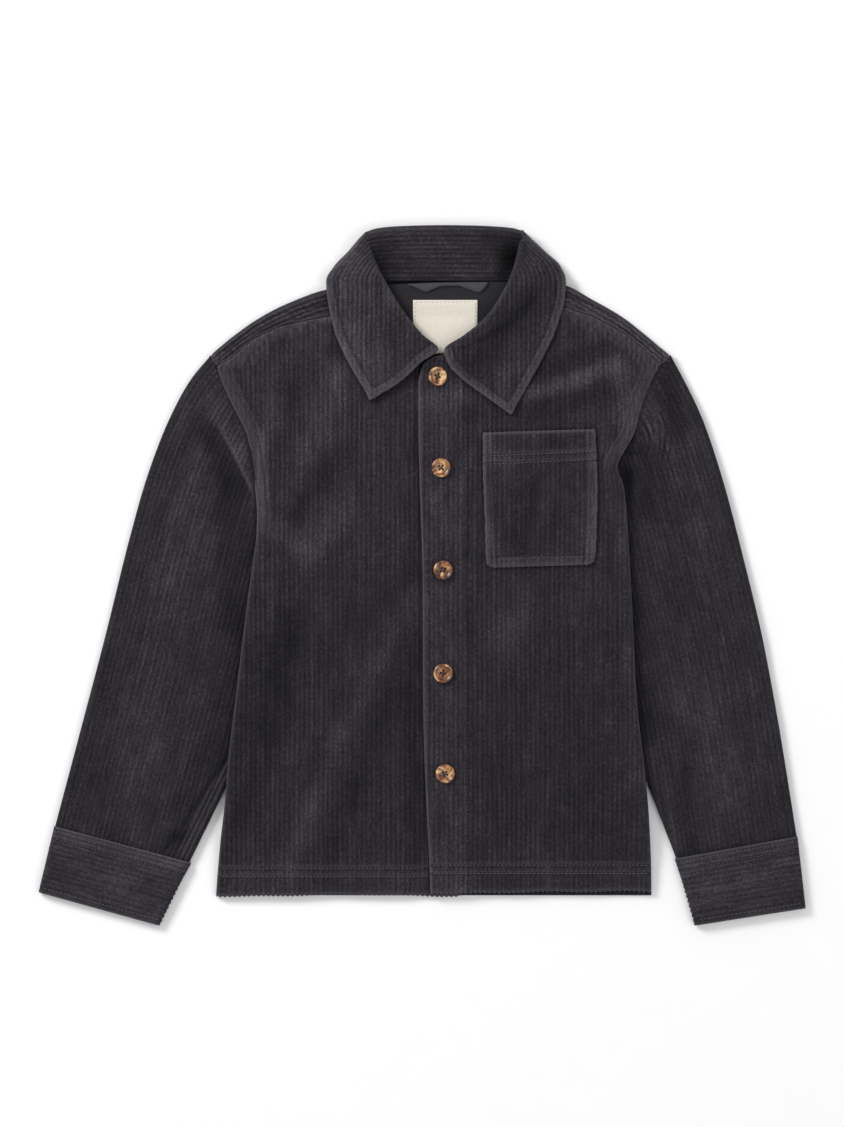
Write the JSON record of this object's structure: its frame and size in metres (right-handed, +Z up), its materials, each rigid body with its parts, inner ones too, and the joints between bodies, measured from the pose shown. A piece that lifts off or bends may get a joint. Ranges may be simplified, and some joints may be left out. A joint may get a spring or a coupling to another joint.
{
  "type": "corduroy shirt jacket",
  "caption": "Child's corduroy shirt jacket with turn-down collar, patch pocket and cuffs, buttoned and laid flat with its front up; the neck is open on a plain inner yoke and label.",
  "frame": {"origin": "Middle of the laid garment's outline, on the surface that it lies on.", "axes": "+Z up out of the garment's front, +Y toward the collar, +X toward the wearer's left sleeve."},
  "size_m": [0.5965, 0.545, 0.0158],
  "materials": {
    "corduroy": "charcoal cotton corduroy, wales 3.75 mm apart, soft matt pile",
    "plain_weave": "plain woven cotton, dark grey, matt",
    "label_cloth": "bare cream cotton tape, matt",
    "loop_tape": "slate grey woven tape, slight sheen",
    "tortoiseshell": "brown tortoiseshell resin, polished"
  },
  "bodies": {
    "root": {"back": "corduroy", "yoke": "corduroy", "inner_yoke": "plain_weave", "front_right": "corduroy", "front_left": "corduroy", "pocket": "corduroy", "sleeve_right": "corduroy", "sleeve_left": "corduroy", "cuff_right": "corduroy", "cuff_left": "corduroy", "collar": "corduroy", "label": "label_cloth", "hanger_loop": "loop_tape", "button_1": "tortoiseshell", "button_2": "tortoiseshell", "button_3": "tortoiseshell", "button_4": "tortoiseshell", "button_5": "tortoiseshell"}
  },
  "joints": []
}
